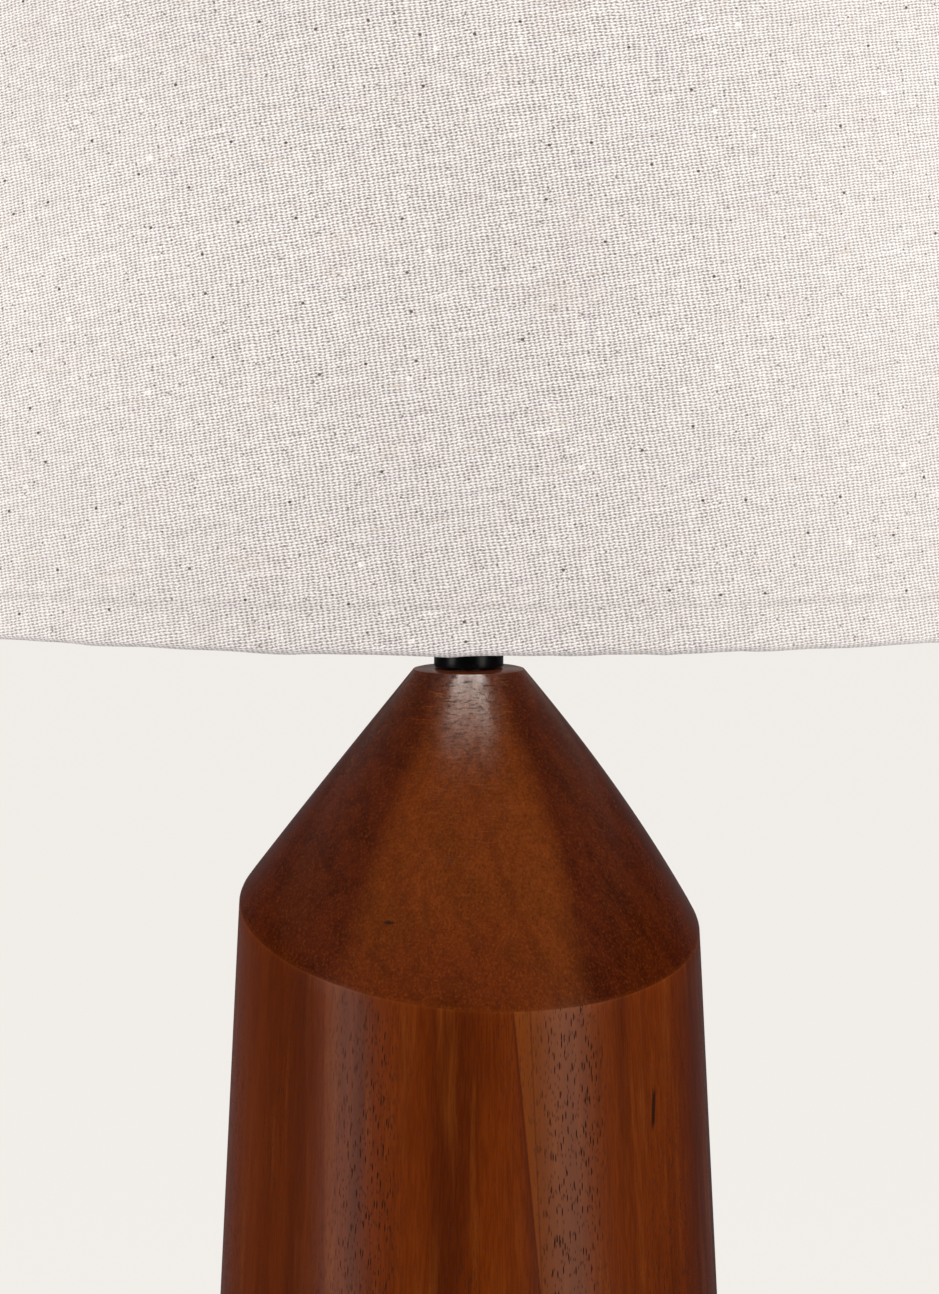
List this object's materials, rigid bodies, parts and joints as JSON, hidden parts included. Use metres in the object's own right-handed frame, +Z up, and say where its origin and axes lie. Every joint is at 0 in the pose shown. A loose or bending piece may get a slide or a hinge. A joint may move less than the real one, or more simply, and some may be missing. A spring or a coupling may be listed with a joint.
{
  "type": "tripod floor lamp",
  "caption": "Floor lamp with a turned wooden hub, slanted shoulder and tapered round legs, under a flared drum shade of coarse natural cloth on a harp.",
  "frame": {"origin": "on the lamp's axis at floor level, under the middle of the shade", "axes": "+Z up along the lamp's axis, the front faces -Y, +X is to the viewer's right"},
  "size_m": [0.4, 0.4, 1.422],
  "materials": {
    "stained_wood": "satin oil stain over turned grain",
    "natural_cloth": "coarse plain weave, matte",
    "black_satin": "satin black",
    "zinc_steel": "zinc plated",
    "white_wire": "white powder coat",
    "brass": "satin",
    "black_rubber": "matte",
    "white_liner": "matte",
    "porcelain": "glazed",
    "opal": "opal, satin"
  },
  "bodies": {
    "stand": {"hub": "stained_wood", "leg_1": "stained_wood", "leg_2": "stained_wood", "leg_3": "stained_wood", "foot_pad_1": "black_rubber", "foot_pad_2": "black_rubber", "foot_pad_3": "black_rubber", "leg_bolt_1": "zinc_steel", "leg_bolt_2": "zinc_steel", "leg_bolt_3": "zinc_steel", "leg_insert_1": "brass", "leg_insert_2": "brass", "leg_insert_3": "brass", "base_plate": "zinc_steel", "plate_screw_1": "zinc_steel", "plate_screw_2": "zinc_steel", "plate_screw_3": "zinc_steel", "cord_grommet": "black_rubber", "lamp_pipe": "zinc_steel", "pipe_washer": "zinc_steel", "pipe_nut": "zinc_steel", "neck": "black_satin", "harp_saddle": "zinc_steel", "harp": "brass", "harp_post": "brass", "socket_cap": "black_satin", "socket_shell": "black_satin", "socket_insulator": "porcelain", "screw_shell": "brass", "centre_contact": "brass"},
    "harp_sleeve_left": {"harp_sleeve_1": "brass"},
    "harp_sleeve_right": {"harp_sleeve_2": "brass"},
    "knob": {"switch_knob": "black_satin"},
    "bulb": {"bulb_cap": "zinc_steel", "bulb_housing": "white_liner", "bulb_dome": "opal"},
    "shade": {"shade_fabric": "natural_cloth", "shade_liner": "white_liner", "shade_bottom_ring": "white_wire", "spider": "white_wire"},
    "finial": {"finial": "brass"}
  },
  "joints": [
    {"name": "sleeve_left_slide", "type": "slide", "parent": "stand", "child": "harp_sleeve_left", "axis": [0, 0, 1], "range_m": [0, 0.01]},
    {"name": "sleeve_right_slide", "type": "slide", "parent": "stand", "child": "harp_sleeve_right", "axis": [0, 0, 1], "range_m": [0, 0.01]},
    {"name": "knob_turn", "type": "hinge", "parent": "stand", "child": "knob", "pos_m": [0, -0.03, 1.1765], "axis": [0, -1, 0], "continuous": true},
    {"name": "bulb_turn", "type": "hinge", "parent": "stand", "child": "bulb", "pos_m": [0, 0, 1.2], "axis": [0, 0, 1], "range_deg": [0, 360]},
    {"name": "shade_turn", "type": "hinge", "parent": "stand", "child": "shade", "pos_m": [0, 0, 1.3965], "axis": [0, 0, 1], "continuous": true},
    {"name": "finial_turn", "type": "hinge", "parent": "stand", "child": "finial", "pos_m": [0, 0, 1.405], "axis": [0, 0, 1], "range_deg": [0, 360]}
  ]
}
